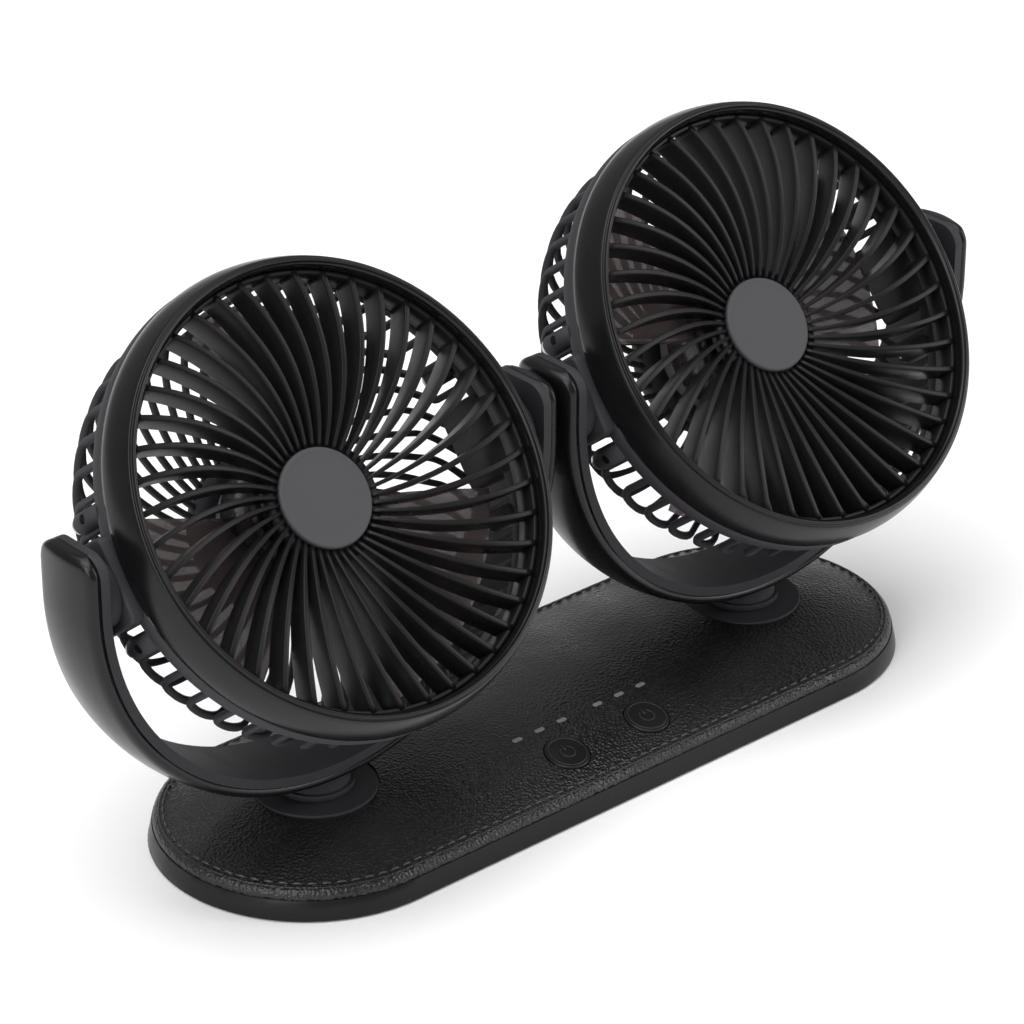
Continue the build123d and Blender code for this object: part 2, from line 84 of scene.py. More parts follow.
@dataclass(frozen=True)
class Finish:
    """A surface finish with fine procedural detail.

    The spread is how far roughness wanders either side of its mean, and the depth is the
    height of the fine relief in metres.
    """

    name: str
    color: Point
    roughness: float
    spread: float = 0.08
    metallic: float = 0.0
    coat: float = 0.0
    shine: float = 0.5
    alpha: float = 1.0
    grain_per_metre: float = 1800.0
    depth: float = 0.00003
    relief: float = 0.25
    texture: Texture = Texture.MOULDED

    def material(self) -> bpy.types.Material:
        """Make the material once and hand back the same one afterwards."""
        known = bpy.data.materials.get(self.name)
        return known if known else self._build()

    def _build(self) -> bpy.types.Material:
        """Build the shader nodes of this finish.

        Returns:
            The new material.
        """
        material = bpy.data.materials.new(self.name)
        material.use_nodes = True
        nodes, links = material.node_tree.nodes, material.node_tree.links
        shader = nodes["Principled BSDF"]
        # The plain colour serves viewers that show no procedural tint.
        shader.inputs["Base Color"].default_value = (*self.color, 1.0)
        shader.inputs["Metallic"].default_value = self.metallic
        shader.inputs["Coat Weight"].default_value = self.coat
        shader.inputs["Specular IOR Level"].default_value = self.shine
        shader.inputs["Coat Roughness"].default_value = COAT_ROUGHNESS
        shader.inputs["Alpha"].default_value = self.alpha
        place = nodes.new("ShaderNodeTexCoord")
        patches = nodes.new("ShaderNodeTexNoise")
        patches.inputs["Scale"].default_value = PATCHES_PER_METRE
        patches.inputs["Detail"].default_value = PATCH_DETAIL
        links.new(place.outputs["Object"], patches.inputs["Vector"])
        wander = nodes.new("ShaderNodeMapRange")
        wander.inputs["From Min"].default_value, wander.inputs["From Max"].default_value = PATCH_RANGE
        wander.inputs["To Min"].default_value = self.roughness - self.spread
        wander.inputs["To Max"].default_value = self.roughness + self.spread
        links.new(patches.outputs["Fac"], wander.inputs["Value"])
        links.new(wander.outputs["Result"], shader.inputs["Roughness"])
        tint = nodes.new("ShaderNodeMix")
        tint.data_type = "RGBA"
        tint.inputs["A"].default_value = (*self.color, 1.0)
        tint.inputs["B"].default_value = (*(c * PATCH_TINT for c in self.color), 1.0)
        links.new(patches.outputs["Fac"], tint.inputs["Factor"])
        links.new(tint.outputs["Result"], shader.inputs["Base Color"])
        bump = nodes.new("ShaderNodeBump")
        bump.inputs["Strength"].default_value = self.relief
        bump.inputs["Distance"].default_value = self.depth
        links.new(self._height(material, place.outputs["Object"]), bump.inputs["Height"])
        links.new(bump.outputs["Normal"], shader.inputs["Normal"])
        return material

    def _height(self, material: bpy.types.Material, place: bpy.types.NodeSocket) -> bpy.types.NodeSocket:
        """Relief of the surface.

        Args:
            material: The material that is being built.
            place: Where on the object the surface is.

        Returns:
            The socket that gives the height.
        """
        nodes, links = material.node_tree.nodes, material.node_tree.links
        if self.texture is Texture.GRAINED:
            cells = nodes.new("ShaderNodeTexVoronoi")
            cells.feature = "SMOOTH_F1"
            cells.inputs["Smoothness"].default_value = PORE_SMOOTHNESS
            cells.inputs["Scale"].default_value = self.grain_per_metre
            links.new(place, cells.inputs["Vector"])
            return cells.outputs["Distance"]
        grain = nodes.new("ShaderNodeTexNoise")
        grain.inputs["Scale"].default_value = self.grain_per_metre
        grain.inputs["Detail"].default_value = GRAIN_DETAIL
        if self.texture is Texture.BRUSHED:
            stretch = nodes.new("ShaderNodeMapping")
            stretch.inputs["Scale"].default_value = BRUSH_STRETCH
            links.new(place, stretch.inputs["Vector"])
            place = stretch.outputs["Vector"]
        links.new(place, grain.inputs["Vector"])
        return grain.outputs["Fac"]


SKIRT = Finish("skirt_plastic", (0.005, 0.005, 0.0055), 0.33, shine=0.26, depth=0.00002)
SATIN = Finish("satin_plastic", (0.004, 0.004, 0.0045), 0.30, shine=0.24, depth=0.00002)
GLOSS = Finish("bezel_plastic", (0.004, 0.004, 0.0045), 0.25, spread=0.05, shine=0.28, depth=0.00001)
RIB = Finish("rib_plastic", (0.008, 0.008, 0.0085), 0.34, shine=0.15, depth=0.00002)
CAP = Finish("cap_plastic", (0.011, 0.011, 0.0115), 0.55, shine=0.28, depth=0.00003)
KEY = Finish("key_plastic", (0.007, 0.007, 0.0075), 0.40, shine=0.35)
GLYPH = Finish("key_glyph", (0.024, 0.024, 0.025), 0.42, shine=0.45)
LEATHER = Finish("fine_leather", (0.0055, 0.0055, 0.006), 0.36, spread=0.10, shine=0.52,
                 grain_per_metre=1150.0, depth=0.00030, relief=1.0, texture=Texture.GRAINED)
THREAD = Finish("seam_thread", (0.030, 0.030, 0.032), 0.34, shine=0.6, grain_per_metre=4000.0,
                depth=0.00008, relief=0.6)
RUBBER = Finish("pad_rubber", (0.010, 0.010, 0.010), 0.80, shine=0.3, depth=0.00006, relief=0.5)
SMOKE = Finish("smoky_blades", (0.170, 0.135, 0.138), 0.25, spread=0.05, shine=0.3, alpha=0.80, depth=0.00001)
HUB = Finish("smoky_hub", (0.030, 0.024, 0.024), 0.25, spread=0.05, alpha=0.88, depth=0.00001)
LAMP = Finish("frosted_lamp", (0.17, 0.17, 0.175), 0.45, depth=0.00003)
BOARD = Finish("board_laminate", (0.010, 0.075, 0.030), 0.45, depth=0.00003)
STEEL = Finish("plated_steel", (0.42, 0.42, 0.44), 0.32, metallic=1.0, texture=Texture.BRUSHED)
CAN = Finish("motor_can", (0.30, 0.30, 0.32), 0.40, metallic=1.0, texture=Texture.BRUSHED)
# Painted shade: a dull near-black plug stands for the shade inside the side holes of the screw bosses.
HOLE_SHADE = Finish("painted_hole_shade", (0.002, 0.002, 0.002), 0.8, shine=0.1)
# Painted shade: dark steel stands for the shade inside the cross recesses of the cage screws.
RECESS_SHADE = Finish("painted_recess_shade", (0.03, 0.03, 0.03), 0.50, metallic=0.6)


@dataclass(frozen=True)
class Surface:
    """Rows of equally many points, in metres, that are skinned into one shape.

    A closed row joins up with its own start. A looped surface joins its last row to its
    first; a closed one that isn't looped gets caps.
    """

    rows: Sequence[Sequence[Point]]
    closed: bool = True
    looped: bool = False

    def faces(self) -> list[tuple[int, ...]]:
        """Corners of the faces between the rows.

        Returns:
            For each face the numbers of its points, counted from the first row's start.
        """
        count, wide = len(self.rows), len(self.rows[0])
        faces: list[tuple[int, ...]] = []
        for i in range(count if self.looped else count - 1):
            here, there = i * wide, (i + 1) % count * wide
            for j in range(wide if self.closed else wide - 1):
                ahead = (j + 1) % wide
                faces.append((here + j, here + ahead, there + ahead, there + j))
        if self.closed and not self.looped:
            faces.append(tuple(range(wide - 1, -1, -1)))
            faces.append(tuple(range((count - 1) * wide, count * wide)))
        return faces


def shaped(name: str, *surfaces: Surface) -> bpy.types.Object:
    """Make one smooth object from its surfaces.

    Args:
        name: The object's name.
        *surfaces: The surfaces that it is made of.

    Returns:
        The new object.
    """
    points: list[Point] = []
    faces: list[tuple[int, ...]] = []
    for surface in surfaces:
        start = len(points)
        faces += [tuple(start + corner for corner in face) for face in surface.faces()]
        for row in surface.rows:
            points.extend(row)
    mesh = bpy.data.meshes.new(name)
    mesh.from_pydata(points, [], faces)
    mesh.polygons.foreach_set("use_smooth", [True] * len(mesh.polygons))
    mesh.update()
    made = bpy.data.objects.new(name, mesh)
    bpy.context.scene.collection.objects.link(made)
    return made


def dress(node: str, finish: Finish, soften: float = 0.0) -> None:
    """Give a CAD node its finish, and rounded edges where they show.

    Args:
        node: Name of the CAD node.
        finish: The finish it gets.
        soften: Width of the rounding in millimetres, or 0 for none.
    """
    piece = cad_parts[node]
    material = finish.material()
    if piece.data.materials:
        for slot in piece.material_slots:
            slot.material = material
    else:
        piece.data.materials.append(material)
    if soften > 0:
        weld = piece.modifiers.new("weld", "WELD")
        weld.merge_threshold = WELD_REACH
        bevel = piece.modifiers.new("rounding", "BEVEL")
        bevel.width = soften * MM
        bevel.segments = ROUNDING_SEGMENTS
        bevel.limit_method = "ANGLE"
        bevel.angle_limit = math.radians(SHARP_EDGE_DEGREES)
        bevel.harden_normals = True
    log.info("dressed %s in %s", node, finish.name)


def fit(piece: bpy.types.Object, finish: Finish, body: str, slot: str, *nodes: str) -> None:
    """Finish a new piece and tie it to its body.

    Args:
        piece: The new object.
        finish: The finish it gets.
        body: The CAD body that it moves with.
        slot: The record's material slot that its finish belongs to; not used.
        *nodes: The CAD nodes that it stands for.
    """
    piece.data.materials.append(finish.material())
    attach(piece, body)
    if nodes:
        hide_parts(*nodes)
    log.info("built %s in %s", piece.name, finish.name)


@dataclass
class Base:
    """The long domed base with its leather, seam, keys and lamps. Sizes in millimetres."""

    end_centre: float = 82.0
    dome_top: float = 16.0
    dome_radius: float = 129.9
    seam_offset: float = 40.5
    stitch_pitch: float = 3.9
    stitch_length: float = 2.7
    stitch_radius: float = 0.39
    stitch_rise: float = 0.30
    stitch_sink: float = 0.12
    stitch_tip: float = 0.05
    stitch_stations: tuple[float, ...] = (-0.5, -0.38, -0.15, 0.15, 0.38, 0.5)
    stitch_sides: int = 8
    pipe_radius: float = 0.40
    pipe_offset: float = 41.6
    pipe_sink: float = 0.18
    pipe_steps: int = 360
    pipe_sides: int = 10
    key_across: float = 15.0
    key_back: float = 29.8
    key_radius: float = 6.5
    key_proud: float = 0.4
    rim_inset: float = 1.0
    rim_half: float = 0.16
    glyph_radius: float = 2.15
    glyph_half: float = 0.24
    glyph_rise: float = 0.26
    glyph_top: float = 0.7
    glyph_start: float = 120.0
    glyph_sweep: float = 300.0
    stroke_ends: tuple[float, float] = (0.7, 2.9)
    stroke_top_half: float = 0.16
    arc_steps: int = 48

    def dome_height(self, offset: float) -> float:
        """Height of the leather at a distance from the base's middle line."""
        return self.dome_top - self.dome_radius + math.sqrt(self.dome_radius**2 - offset**2)

    def track(self, offset: float, along: float) -> tuple[float, float, float, float]:
        """Find a place on a line that runs round the base at a fixed offset.

        Args:
            offset: Distance of the line from the middle line.
            along: Distance along the line from its start.

        Returns:
            The x and y of the place and of the line's direction there.
        """
        straight, bend = 2 * self.end_centre, math.pi * offset
        along %= 2 * (straight + bend)
        turned = along >= straight + bend
        along -= (straight + bend) if turned else 0.0
        sign = -1.0 if turned else 1.0
        if along < straight:
            return sign * (along - self.end_centre), -sign * offset, sign, 0.0
        turn = (along - straight) / offset - math.pi / 2
        x, y = self.end_centre + offset * math.cos(turn), offset * math.sin(turn)
        return sign * x, sign * y, -sign * math.sin(turn), sign * math.cos(turn)

    def length(self, offset: float) -> float:
        """Length of the line round the base at an offset."""
        return 4 * self.end_centre + 2 * math.pi * offset

    def small_ring(self, offset: float, along: float, height: float, radius: float,
                   sides: int) -> list[Point]:
        """Build a small ring of points square to a line that runs round the base.

        Args:
            offset: Distance of the line from the middle line.
            along: Distance along the line from its start.
            height: Height of the ring's middle.
            radius: Radius of the ring.
            sides: How many points it has.

        Returns:
            The ring's points in metres.
        """
        x, y, dx, dy = self.track(offset, along)
        ring = []
        for k in range(sides):
            turn = 2 * math.pi * k / sides
            out = radius * math.cos(turn)
            ring.append(((x + dy * out) * MM, (y - dx * out) * MM, (height + radius * math.sin(turn)) * MM))
        return ring

    def stitches(self) -> bpy.types.Object:
        """Build the row of short rounded stitches round the leather's edge.

        Returns:
            The stitches as one object.
        """
        total = self.length(self.seam_offset)
        count = int(total / self.stitch_pitch)
        height = self.dome_height(self.seam_offset) - self.stitch_sink
        shapes = []
        for n in range(count):
            rows = []
            for share in self.stitch_stations:
                swell = math.sqrt(max(1 - (2 * share) ** 2, self.stitch_tip))
                rows.append(self.small_ring(self.seam_offset, total * n / count + share * self.stitch_length,
                                            height + self.stitch_rise * swell, self.stitch_radius * swell,
                                            self.stitch_sides))
            shapes.append(Surface(rows))
        return shaped("seam_stitches", *shapes)

    def piping(self) -> bpy.types.Object:
        """Build the fine raised fold outside the stitches.

        Returns:
            The fold as one closed loop.
        """
        step = self.length(self.pipe_offset) / self.pipe_steps
        height = self.dome_height(self.pipe_offset) - self.pipe_sink
        rows = [self.small_ring(self.pipe_offset, step * n, height, self.pipe_radius, self.pipe_sides)
                for n in range(self.pipe_steps)]
        return shaped("seam_fold", Surface(rows, looped=True))

    def on_key(self, side: Side, x: float, y: float, z: float) -> Point:
        """Turn a place on a key's face into the row frame.

        Args:
            side: Which key.
            x: Distance across from the key's middle.
            y: Distance up the key's slope from its middle.
            z: Height above the leather.

        Returns:
            The place in metres.
        """
        middle = Vector((side.value * self.key_across, -self.key_back, self.dome_height(self.key_back)))
        slope = math.asin(self.key_back / self.dome_radius)
        spot = middle + Matrix.Rotation(slope, 3, "X") @ Vector((x, y, z))
        return spot.x * MM, spot.y * MM, spot.z * MM

    def arc(self, side: Side, radius: float, half: float, start: float, sweep: float) -> Surface:
        """Build a low ridge along an arc on a key's face.

        Args:
            side: Which key.
            radius: Radius of the arc.
            half: Half of the ridge's width.
            start: Angle of the arc's start in degrees.
            sweep: How many degrees the arc runs.

        Returns:
            The ridge.
        """
        low, high, top = self.key_proud, self.key_proud + self.glyph_rise, half * self.glyph_top
        section = ((radius - half, low), (radius - top, high), (radius + top, high), (radius + half, low))
        rows = []
        for n in range(self.arc_steps + 1):
            turn = math.radians(start + sweep * n / self.arc_steps)
            rows.append([self.on_key(side, r * math.cos(turn), r * math.sin(turn), z) for r, z in section])
        return Surface(rows)

    def glyph(self, side: Side) -> bpy.types.Object:
        """Build the faint ring and stroke on a key's face.

        Args:
            side: Which key.

        Returns:
            The ring and stroke as one object.
        """
        low, high = self.key_proud, self.key_proud + self.glyph_rise
        half, top = self.glyph_half, self.stroke_top_half
        section = ((-half, low), (-top, high), (top, high), (half, low))
        stroke = [[self.on_key(side, x, y, z) for x, z in section] for y in self.stroke_ends]
        rim = self.arc(side, self.key_radius - self.rim_inset, self.rim_half, 0.0, 360.0)
        symbol = self.arc(side, self.glyph_radius, half, self.glyph_start, self.glyph_sweep)
        return shaped(side.prefix + "key_glyph", rim, symbol, Surface(stroke))

    def build(self) -> None:
        """Dress the base's nodes and add the seam."""
        dress("base_tray", SKIRT, 0.5)
        dress("base_pad", RUBBER, 0.3)
        dress("top_shell", SKIRT)
        dress("leather_cover", LEATHER)
        dress("base_screws", STEEL, 0.2)
        dress("lamp_light_guides", LAMP, 0.2)
        dress("control_board", BOARD)
        dress("button_switches", KEY, 0.1)
        dress("power_socket", STEEL, 0.15)
        fit(self.stitches(), THREAD, "base", "leather")
        fit(self.piping(), LEATHER, "base", "leather")
        for side in Side:
            dress(side.prefix + "button", KEY, 0.12)
            fit(self.glyph(side), GLYPH, side.prefix + "key", "button_plastic")
            dress(side.prefix + "swivel_plate", SATIN, 0.3)


@dataclass
class FanPart:
    """A part of one fan, with the place of that fan over the base. Sizes in millimetres."""

    side: Side
    spacing: float = 161.2
    pivot_height: float = 100.2

    @property
    def shift(self) -> float:
        """How far right of the base's middle the fan stands."""
        return self.side.value * self.spacing / 2


@dataclass
class Yoke(FanPart):
    """A yoke: inner frame, crowned outer cover and the swivel parts."""

    middle: float = 75.5
    edge: float = 78.1
    crown: float = 1.7
    width: float = 23.0
    rise: float = 15.0
    corner: float = 6.0
    tip_edge: float = 2.4
    tip_steps: int = 12
    run_steps: int = 96
    groove: float = 0.12
    groove_share: float = 0.96
    seat_share: float = 0.95
    rounded_share: float = 0.9
    rounded_depth: float = 0.6534
    crown_steps: int = 16

    def station(self, share: float) -> tuple[float, float, float, float]:
        """Find a place on the yoke's run from one arm's top to the other's.

        Args:
            share: 0 at the left arm's top and 1 at the right arm's.

        Returns:
            The place's x and z for a radius of one, the height above the bend, and its width share.
        """
        arm, bend = self.rise, math.pi * self.middle
        total = 2 * arm + bend
        run = share * total
        if run < arm or run > total - arm:
            left = run < arm
            height = arm - run if left else run - (total - arm)
            cut = self.rounding(height, self.corner)
            return (-1.0 if left else 1.0), 0.0, height, 1 - cut / (self.width / 2)
        turn = math.pi + (run - arm) / self.middle
        return math.cos(turn), math.sin(turn), 0.0, 1.0

    def rounding(self, height: float, radius: float) -> float:
        """How far a rounded edge at an arm's top has drawn in.

        Args:
            height: Height above the bend.
            radius: Radius of the rounding.

        Returns:
            The distance that it has drawn in.
        """
        over = height - (self.rise - radius)
        return radius - math.sqrt(max(radius**2 - over**2, 0.0)) if over > 0 else 0.0

    def cover_profile(self) -> list[tuple[float, float]]:
        """Outline of the cover's section, crowned outside, with a shadow gap next to the frame.

        Returns:
            Its corners as a radius and a place across, from -1 to 1 over the width.
        """
        outside = []
        for n in range(self.crown_steps + 1):
            across = -1 + 2 * n / self.crown_steps
            past = max(abs(across) - self.rounded_share, 0.0) / (1 - self.rounded_share)
            outside.append((self.edge + self.crown * (1 - across**2) - self.rounded_depth * past**2, across))
        gap, seat, lip = self.middle + self.groove, self.seat_share, self.groove_share
        inside = [(gap, 1.0), (gap, lip), (self.middle, seat), (self.middle, -seat), (gap, -lip), (gap, -1.0)]
        return outside + inside

    def cover(self) -> bpy.types.Object:
        """Sweep the cover's section along the yoke.

        Returns:
            The cover.
        """
        tip = self.corner / (2 * self.rise + math.pi * self.middle)
        ends = [tip * (1 - math.cos(math.pi / 2 * n / self.tip_steps)) for n in range(self.tip_steps + 1)]
        run = [tip + (1 - 2 * tip) * n / self.run_steps for n in range(1, self.run_steps)]
        profile, gap = self.cover_profile(), self.middle + self.groove
        rows = []
        for share in ends + run + [1 - end for end in reversed(ends)]:
            x, z, height, narrow = self.station(share)
            drop = self.rounding(height, self.tip_edge)
            row = []
            for radius, across in profile:
                radius -= drop if radius > gap else 0.0
                y = across * self.width / 2 * narrow
                up = self.pivot_height + z * radius + height
                row.append(((self.shift + x * radius) * MM, y * MM, up * MM))
            rows.append(row)
        return shaped(self.side.prefix + "yoke_shell", Surface(rows))

    def build(self) -> None:
        """Dress the yoke's nodes and build its cover."""
        prefix = self.side.prefix
        dress(prefix + "yoke_frame", SATIN, 0.35)
        dress(prefix + "spindle_retainer", STEEL, 0.2)
        dress(prefix + "retainer_screws", STEEL, 0.1)
        fit(self.cover(), GLOSS, prefix + "yoke", "gloss_plastic", prefix + "yoke_cover")


@dataclass
class HeadPart(FanPart):
    """A part of a fan head, in the head's own frame: z forwards along the fan axis, y up."""

    tilt: float = 38.0

    def polar(self, radius: float, degrees: float, z: float) -> Point:
        """Turn a place round the fan axis into the row frame.

        Args:
            radius: Distance from the fan axis.
            degrees: Angle round it, from +X towards up.
            z: Distance forwards of the pivot.

        Returns:
            The place in metres.
        """
        a, t = math.radians(degrees), math.radians(self.tilt)
        x, y = radius * math.cos(a), radius * math.sin(a)
        return ((self.shift + x) * MM, (y * math.sin(t) - z * math.cos(t)) * MM,
                (self.pivot_height + y * math.cos(t) + z * math.sin(t)) * MM)

    def square(self, x: float, y: float, z: float) -> Point:
        """Turn a place given across, up and forwards of the pivot into the row frame, in metres."""
        return self.polar(math.hypot(x, y), math.degrees(math.atan2(y, x)), z)

    def lathe(self, profile: Sequence[tuple[float, float]], steps: int) -> Surface:
        """Turn a closed outline of (radius, z) corners round the fan axis."""
        rows = [[self.polar(r, 360 * n / steps, z) for r, z in profile] for n in range(steps)]
        return Surface(rows, looped=True)


@dataclass
class Impeller(HeadPart):
    """The smoky impeller: a domed hub and three wide screw-shaped blades."""

    blade_count: int = 3
    blade_middle: float = -5.5
    blade_rise: float = 14.4
    blade_sweep: float = 70.0
    blade_steps: int = 24
    blade_root: float = 18.5
    blade_reach: float = 37.8
    blade_section: Profile = (
        (18.5, -0.7), (30.0, -0.6), (44.0, -0.5), (54.5, -0.4), (56.1, -0.25), (56.3, 0.0),
        (56.1, 0.25), (54.5, 0.4), (44.0, 0.5), (30.0, 0.6), (18.5, 0.7))
    rim_share: float = 0.48
    rim_thin: float = 0.35
    front_trim: float = 0.10
    rear_trim: float = 0.03
    hub_profile: Profile = (
        (18.9, -13.9), (18.95, -1.0), (18.6, 0.4), (17.7, 1.4), (16.4, 1.9), (1.6, 1.9), (1.6, 0.6),
        (1.6, -2.9), (17.3, -3.0), (17.4, -13.9))
    hub_steps: int = 96

    @property
    def phase(self) -> float:
        """Angle at which this side's first blade rests."""
        return 75.0 if self.side is Side.LEFT else 15.0

    def blade(self, turn: float) -> Surface:
        """Build one wide screw-shaped blade with a thin rounded rim.

        Args:
            turn: Angle of the blade's middle.

        Returns:
            The blade, from one edge to the other.
        """
        rows = []
        for n in range(self.blade_steps + 1):
            share = n / self.blade_steps - 0.5
            rise = self.blade_middle + share * self.blade_rise
            thin = 1.0 if abs(share) < self.rim_share else self.rim_thin
            trim = self.front_trim if share > 0 else self.rear_trim
            row = []
            for r, out in self.blade_section:
                kept = 1.0 - trim * (r - self.blade_root) / self.blade_reach
                row.append(self.polar(r, turn + share * self.blade_sweep * kept, rise + out * thin))
            rows.append(row)
        return Surface(rows)

    def blades(self) -> bpy.types.Object:
        """Build all the blades.

        Returns:
            The blades as one object.
        """
        turns = [self.phase + 360 / self.blade_count * k for k in range(self.blade_count)]
        return shaped(self.side.prefix + "fan_blades", *(self.blade(turn) for turn in turns))

    def hub(self) -> bpy.types.Object:
        """Build the domed hub."""
        return shaped(self.side.prefix + "fan_hub", self.lathe(self.hub_profile, self.hub_steps))

    def build(self) -> None:
        """Build the hub and the blades."""
        prefix = self.side.prefix
        fit(self.hub(), HUB, prefix + "fan", "smoky_plastic", prefix + "impeller")
        fit(self.blades(), SMOKE, prefix + "fan", "smoky_plastic")


@dataclass
class Front(HeadPart):
    """The front of a head: dished grille, beaded bezel and hub cap.

    A dish is given by its height at dish_middle, its slope and its bend per dish_reach. The
    foot and crest of a rib's section are half widths and distances from its rear and front.
    """

    rib_count: int = 43
    rib_width: float = 1.6
    rib_root_width: float = 0.95
    rib_grow: float = 22.0
    rib_twist: float = 16.3
    rib_phase: float = 1.5
    rib_start: float = 14.1
    rib_end: float = 59.7
    rib_origin: float = 12.3
    rib_steps: int = 22
    rib_foot: Profile = ((0.6, 0.0), (0.9, 0.5))
    rib_crest: Profile = ((1.0, 0.5), (0.95, 0.2), (0.78, 0.04), (0.5, 0.0))
    dish_middle: float = 36.0
    dish_reach: float = 23.65
    front_dish: tuple[float, float, float] = (16.7, 4.85, -3.65)
    rear_dish: tuple[float, float, float] = (8.8, 2.4, -1.4)
    ring_outer: float = 60.3
    ring_profile: Profile = (
        (59.05, 9.9), (59.35, 9.65), (60.1, 9.65), (60.3, 9.9), (60.3, 17.2), (60.0, 17.5), (59.35, 17.5),
        (59.05, 17.2))
    ring_steps: int = 180
    hub_profile: Profile = (
        (0.5, 4.6), (16.9, 4.6), (17.4, 5.1), (17.4, 7.7), (17.1, 8.1), (16.5, 8.15), (0.5, 8.15))
    hub_steps: int = 96
    bezel_back: Profile = ((64.9, 9.55), (65.3, 9.9), (65.35, 11.0))
    bezel_taper: float = 2.35
    bezel_taper_length: float = 9.6
    bezel_taper_power: float = 1.7
    bezel_taper_steps: int = 8
    bezel_bead: Profile = (
        (62.75, 20.85), (62.45, 20.75), (62.2, 20.85), (62.15, 21.3), (62.05, 21.65), (61.75, 21.85),
        (61.4, 21.8), (61.2, 21.5), (61.1, 21.1), (60.8, 20.75), (60.5, 20.4), (60.42, 19.6))
    bezel_inside: Profile = ((60.42, 15.0), (60.42, 9.9), (60.7, 9.55))
    bezel_steps: int = 240
    cap_profile: Profile = (
        (13.6, 8.25), (13.85, 8.45), (13.87, 9.5), (13.75, 9.85), (13.5, 10.02), (13.1, 10.07),
        (12.6, 10.0), (12.2, 9.93), (11.8, 9.9), (11.0, 9.9))
    cap_steps: int = 120

    def dish(self, terms: tuple[float, float, float], radius: float) -> float:
        """How far forwards a dished surface lies at a radius."""
        u = (radius - self.dish_middle) / self.dish_reach
        return terms[0] + terms[1] * u + terms[2] * u * u

    def rib(self, turn: float) -> Surface:
        """Build one curved rib with a rounded front edge.

        Args:
            turn: Angle of the rib's root.

        Returns:
            The rib, from its root to the ring.
        """
        slant = self.rib_twist / (self.ring_outer - self.rib_origin)
        rows = []
        for n in range(self.rib_steps + 1):
            radius = self.rib_start + (self.rib_end - self.rib_start) * n / self.rib_steps
            angle = turn + slant * (radius - self.rib_origin)
            lean = math.atan(radius * math.radians(slant))
            front, rear = self.dish(self.front_dish, radius), self.dish(self.rear_dish, radius)
            grown = min((radius - self.rib_start) / self.rib_grow, 1.0)
            half = (self.rib_root_width + (self.rib_width - self.rib_root_width) * grown) / 2
            flank = [(half * share, rear + up) for share, up in self.rib_foot]
            flank += [(half * share, front - down) for share, down in self.rib_crest]
            row = []
            for side, z in [(-side, z) for side, z in flank] + flank[::-1]:
                swing = math.degrees(side * math.cos(lean) / radius)
                row.append(self.polar(radius - side * math.sin(lean), angle + swing, z))
            rows.append(row)
        return Surface(rows)

    def grille(self) -> bpy.types.Object:
        """Build the ribs, the outer ring and the hub ring as one piece.

        Returns:
            The grille.
        """
        ribs = [self.rib(self.rib_phase + 360 * k / self.rib_count) for k in range(self.rib_count)]
        ring = self.lathe(self.ring_profile, self.ring_steps)
        hub = self.lathe(self.hub_profile, self.hub_steps)
        return shaped(self.side.prefix + "grille_ribs", *ribs, ring, hub)

    def bezel(self) -> bpy.types.Object:
        """Build the front ring with its bead and groove.

        Returns:
            The bezel.
        """
        radius, start = self.bezel_back[-1]
        taper = []
        for n in range(1, self.bezel_taper_steps + 1):
            share = n / self.bezel_taper_steps
            taper.append((radius - self.bezel_taper * share**self.bezel_taper_power,
                          start + self.bezel_taper_length * share))
        profile = (*self.bezel_back, *taper, *self.bezel_bead, *self.bezel_inside)
        return shaped(self.side.prefix + "bezel_ring", self.lathe(profile, self.bezel_steps))

    def hub_cap(self) -> bpy.types.Object:
        """Build the flat hub cap with a turned edge and a faint dish.

        Returns:
            The hub cap.
        """
        turns = [360 / self.cap_steps * n for n in range(self.cap_steps)]
        rows = [[self.polar(r, turn, z) for turn in turns] for r, z in self.cap_profile]
        return shaped(self.side.prefix + "hub_disc", Surface(rows))

    def build(self) -> None:
        """Build the grille, the bezel and the hub cap."""
        prefix, head = self.side.prefix, self.side.prefix + "head"
        fit(self.grille(), RIB, head, "satin_plastic", prefix + "front_grille")
        fit(self.bezel(), GLOSS, head, "gloss_plastic", prefix + "bezel")
        fit(self.hub_cap(), CAP, head, "cap_plastic", prefix + "hub_cap")


